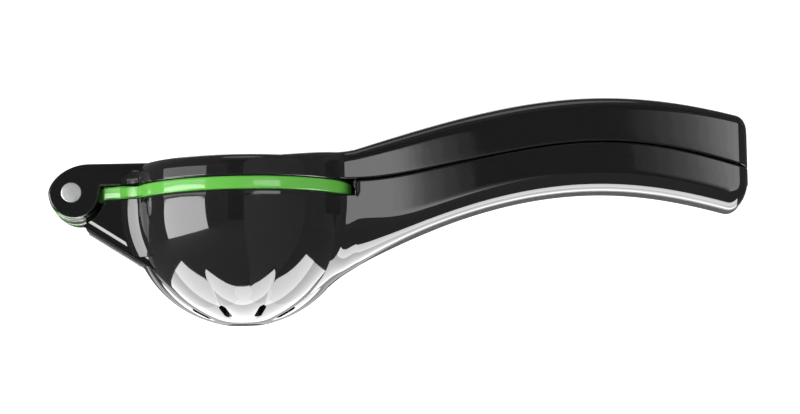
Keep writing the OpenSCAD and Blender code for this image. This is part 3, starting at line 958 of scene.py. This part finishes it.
def grip_ring(s, x):
    """Section of the upper handle at x: flat below, with a wide rounded edge above."""
    disc = s.disc_half(x) - 0.15 if x < s.bowl.radius else 0.0
    half = blend_max(disc, s.handle_half(x), 3.5)
    base = s.parting(x) + s.HANDLE_GAP / 2
    top = s.upper_top(x) - s.end_inset(x, s.END_UPPER)
    e = s.RIM_ROUND
    r = max(min(s.upper_edge(x), top - base - e - 0.5, half - 1), 0.5)
    ring = [((half - r) * k / 6, top) for k in range(6)]
    ring += arc(half - r, top - r, r, 90, 0, 18)
    low = base + e
    ring += [(half, top - r + (low - top + r) * k / 4) for k in range(1, 4)]
    ring += arc(half - e, low, e, 0, -90, 5)
    ring += [(half * k / 4, base) for k in (3, 2, 1, 0)]
    return both_sides(x, ring)


def grip_loft(s):
    """Upper handle, with the dish of the dome and the cells cut out."""
    xs = span(14, 37, 23) + span(38, 60, 22) + grip_stations(s)
    grip = loft("grip", [grip_ring(s, x) for x in xs])
    mid, over = s.dome_z, s.lid_top + 2.5
    inner = s.press.dome - s.press.dome_wall + 0.4
    dish = revolve("dish_tool", [(0, 30), (inner, 30), (inner, mid), (inner + 6.2, over), (0, over)], 128)
    return cut(grip, dish, handle_tool(s, -1))


def hinge_block(s):
    """The block behind the lid with its two ears, round below and drawn out above."""
    n = s.hinge
    cx, cz = s.pin_x + s.EAR_SHIFT, s.pin_z
    nose = 13.5
    nose_x, nose_h = cx - n.ear_radius + nose, s.lid_top - cz - 0.02
    outline = [(-30, s.lid_top - 0.02)]
    for a in (math.radians(t) for t in span(90, 180, 24)):
        outline.append((nose_x + nose * math.cos(a), cz + nose_h * abs(math.sin(a)) ** 1.2))
    outline += arc(cx, cz, n.ear_radius, 184, 360, 44)
    outline += [(cx + n.ear_radius + 0.4, s.lid_z + 0.02), (-30, s.lid_z + 0.02)]
    block = prism("hinge_block", outline, -s.half, s.half, bevel=0.8, segments=4)
    block = cut(block, barrel("sweep_tool", s.pin_x, cz, s.sweep_r, -s.ear_y, s.ear_y))
    block = cut(block, barrel("pin_tool", s.pin_x, cz, n.pin, -30, 30))
    corner = hollow_corner(s, "lid_corner", s.lid_top - 2.6, s.lid_z + 0.4, False, 0.6)
    return [block, corner, mirrored(corner)]


class PressArm(bpy.types.Operator):
    """Lid, press dome, hinge ears and upper handle of one enamelled casting"""

    bl_idname = "squeezer.press_arm"
    bl_label = "Press arm"

    def execute(self, context):
        s = Shape(context.scene)
        enamel = black_enamel(context.scene)
        parts = [press_lid(s), grip_loft(s), dome_ribs(s, enamel)]
        arm = join("press_arm", parts + hinge_block(s) + bumper_posts(s, -1))
        finish_piece(arm, enamel, "upper_arm", "gloss_black_enamel", "upper_arm")
        return {"FINISHED"}


# Hinge pin, bushes, washers and bumpers


class HingeSet(bpy.types.Operator):
    """Steel pin with a domed end, nylon bushes and washers"""

    bl_idname = "squeezer.hinge_set"
    bl_label = "Hinge set"

    def execute(self, context):
        s = Shape(context.scene)
        finish = context.scene.squeezer_finish
        r, w, e = s.hinge.pin, s.half, 0.45
        profile = [(0, -w)] + arc(r - e, -w + e, e, -90, 0, 6) + arc(r - e, w - e, e, 0, 90, 6) + [(0, w)]
        pin = revolve("hinge_pin_steel", profile, 96)
        centre = (s.pin_x * MM, 0, s.pin_z * MM)
        pin.data.transform(Matrix.Translation(centre) @ Matrix.Rotation(math.pi / 2, 4, "X"))
        steel = turned_steel(finish.steel, centre)
        finish_piece(pin, steel, "upper_arm", "polished_steel", "hinge_pin")
        nylon = moulded_nylon(finish.nylon)
        # These CAD nodes stay as they are
        for name in ("lower_bush", "near_cup_bush", "far_cup_bush", "near_outer_washer",
                     "near_inner_washer", "far_inner_washer", "far_outer_washer"):
            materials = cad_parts[name].data.materials
            materials.clear()
            materials.append(nylon)
        return {"FINISHED"}


class HandleBumpers(bpy.types.Operator):
    """Rubber bumpers on the lower handle's posts"""

    bl_idname = "squeezer.handle_bumpers"
    bl_label = "Handle bumpers"

    def execute(self, context):
        s = Shape(context.scene)
        parts = []
        for x in s.bumpers:
            z = s.parting(x) - s.MOUTH + s.LOWER_SHORT
            top = s.parting(x) + s.MOUTH - s.UPPER_SHORT - s.LEAF_GAP
            parts += [prism("head", circle(x, 0, s.HEAD, 60), z, top, "Z", bevel=0.7, segments=4),
                      prism("stem", circle(x, 0, s.STEM, 36), z - 3.4, z + 0.5, "Z", bevel=0.3)]
        rubber = moulded_rubber(context.scene.squeezer_finish.rubber)
        bumpers = join("rubber_bumpers", parts)
        finish_piece(bumpers, rubber, "lower_arm", "black_rubber", "handle_bumpers")
        return {"FINISHED"}


# Studio


def soft_box(name, place, target, width, height, radiance, gloss_only=False):
    """A rectangular light; the power in watts gives the wanted radiance over its area."""
    data = bpy.data.lights.new(name, "AREA")
    data.shape = "RECTANGLE"
    data.size, data.size_y = width, height
    data.energy = radiance * math.pi * width * height
    obj = put(name, data)
    obj.location = place
    obj.rotation_euler = (Vector(target) - Vector(place)).to_track_quat("-Z", "Y").to_euler()
    obj.visible_camera = False
    obj.visible_diffuse = not gloss_only


class Stage(bpy.types.Operator):
    """Camera, floor, backdrop and lights"""

    bl_idname = "squeezer.stage"
    bl_label = "Stage"

    # The view in degrees and metres, and the width that 800 pixels of 0.3286 mm show
    ELEVATION = 6.5
    ROLL = 1.15
    DISTANCE = 1.3
    TARGET = (0.0516, 0.0, 0.0378)
    FRAME_WIDTH = 800 * 0.3286 * MM
    # Left edge in metres and radiance of each layer of the right soft box
    RIGHT_LAYERS = ((0.195, 0.3), (0.212, 0.25), (0.23, 0.35), (0.247, 0.4), (0.262, 0.55),
                    (0.275, 0.5), (0.287, 0.5), (0.3, 0.5), (0.32, 0.5), (0.345, 0.4))
    RIGHT_END = 1.5

    def execute(self, context):
        scene = context.scene
        self.camera(scene)
        self.floor(scene)
        self.dark_screen()
        self.world(scene)
        soft_box("left_softbox", (-0.86, -0.5, -0.14), (0, 0, 0.02), 0.92, 0.62, 9.0)
        soft_box("left_top_light", (-0.84, -0.49, 0.27), (0, 0, 0.04), 0.92, 0.2, 2.4)
        # The right soft box has a soft edge, made of layers that lie 4 mm apart
        for k, (edge, radiance) in enumerate(self.RIGHT_LAYERS):
            middle, y = (edge + self.RIGHT_END) / 2, -1.2 - 0.004 * k
            width = self.RIGHT_END - edge
            soft_box("right_softbox", (middle, y, 0.09), (middle, 0, 0.09), width, 0.62, radiance)
        soft_box("light_table", (0.03, 0.27, -0.305), (0.03, 0.27, 0.0), 0.94, 0.64, 6.5, gloss_only=True)
        soft_box("table_edge", (0.03, 0.03, -0.302), (0.03, 0.03, 0.0), 0.94, 0.16, 5.5, gloss_only=True)
        soft_box("back_light", (0.1, 1.2, 0.9), (0.1, 0, 0.05), 0.7, 0.3, 3.0, gloss_only=True)
        scene.view_settings.view_transform = "Standard"
        scene.view_settings.look = "None"
        return {"FINISHED"}

    def camera(self, scene):
        """Looks up at the squeezer from in front, turned a little round its own axis."""
        data = bpy.data.cameras.new("camera")
        data.lens = data.sensor_width * self.DISTANCE / self.FRAME_WIDTH
        camera = put("camera", data)
        tilt = Matrix.Rotation(math.radians(90 + self.ELEVATION), 4, "X")
        roll = Matrix.Rotation(-math.radians(self.ROLL), 4, "Z")
        back = Matrix.Translation((0, 0, self.DISTANCE))
        camera.matrix_world = Matrix.Translation(self.TARGET) @ tilt @ roll @ back
        scene.camera = camera

    def floor(self, scene):
        """Plain pale paper; it lies low because the photograph looks up at the bowl."""
        corners = [(x, y, -320) for x, y in ((-3000, -3000), (3000, -3000), (3000, 3000), (-3000, 3000))]
        paper = new_object("paper_floor", corners, [(0, 1, 2, 3)])
        paper.data.materials.append(studio_paper(scene.squeezer_finish.paper))

    def dark_screen(self):
        """Grey felt round the camera's side, which only the gloss of the enamel sees."""
        # Radius and height of its edges in millimetres; the far side starts higher up
        upper = [(1600, 1300), (1100, 1750), (350, 1900)]
        near = [(60, -310), (1600, -310)] + upper
        far = [(1600, -200)] + upper
        steps = 24
        verts, faces = [], []
        for line, first, turn in ((near, 122, 296), (far, 58, 64)):
            base, row = len(verts), steps + 1
            turns = [math.radians(a) for a in span(first, first + turn, steps)]
            verts += [(r * math.cos(a), r * math.sin(a), z) for r, z in line for a in turns]
            for i in range(len(line) - 1):
                for j in range(base + i * row, base + i * row + steps):
                    faces.append((j, j + 1, j + row + 1, j + row))
        screen = new_object("dark_screen", verts, faces)
        cards = [screen]
        # Two upright flags end the left soft box's reflection at the bowl, with a slit for the cup
        for name, near, far in (("low_flag", (-250, 41), (-250, 122)),
                                ("high_flag", (45.6, 350), (128, 350))):
            corners = [(40, -38, near[0]), (40, -750, far[0]), (40, -750, far[1]), (40, -38, near[1])]
            cards.append(new_object(name, corners, [(0, 1, 2, 3)]))
        felt = studio_felt("grey_felt", "#606060", "#666666")
        for card in cards:
            card.data.materials.append(felt)
        # Dark felt hangs where the bowl and the handles mirror it
        screen.data.materials.append(studio_felt("dark_felt", "#303030", "#353535"))
        for face in screen.data.polygons:
            middle = face.center
            if middle.z > -0.3 and middle.y < -1.0 and abs(middle.x) < 0.45:
                face.material_index = 1
        for card in cards:
            card.visible_camera = False
            card.visible_diffuse = False
            card.visible_shadow = False

    def world(self, scene):
        """An even white room."""
        world = bpy.data.worlds.new("studio")
        world.use_nodes = True
        tree = world.node_tree
        tree.nodes.clear()
        light = add(tree, "ShaderNodeBackground", {"Strength": 1.4, "Color": (1, 1, 1, 1)})
        add(tree, "ShaderNodeOutputWorld", {"Surface": light.outputs[0]})
        scene.world = world


class SqueezerPanel(bpy.types.Panel):
    """Lists the pieces of the squeezer and their sizes"""

    bl_idname = "VIEW3D_PT_squeezer"
    bl_label = "Squeezer"
    bl_space_type = "VIEW_3D"
    bl_region_type = "UI"
    bl_category = "Squeezer"

    def draw(self, context):
        for operator in OPERATORS:
            self.layout.operator(operator.bl_idname)
        for key, group in GROUPS.items():
            box = self.layout.box()
            for name in group.__annotations__:
                box.prop(getattr(context.scene, key), name)


OPERATORS = (BowlArm, StrainerCup, PressArm, HingeSet, HandleBumpers, Stage)
CLASSES = (*GROUPS.values(), *OPERATORS, SqueezerPanel)


def register():
    for item in CLASSES:
        bpy.utils.register_class(item)
    for key, group in GROUPS.items():
        setattr(bpy.types.Scene, key, bpy.props.PointerProperty(type=group))


def unregister():
    for key in GROUPS:
        delattr(bpy.types.Scene, key)
    for item in reversed(CLASSES):
        bpy.utils.unregister_class(item)


def main():
    register()
    bpy.ops.squeezer.bowl_arm()
    bpy.ops.squeezer.strainer_cup()
    bpy.ops.squeezer.press_arm()
    bpy.ops.squeezer.hinge_set()
    bpy.ops.squeezer.handle_bumpers()
    bpy.ops.squeezer.stage()


if __name__ == "__main__":
    main()
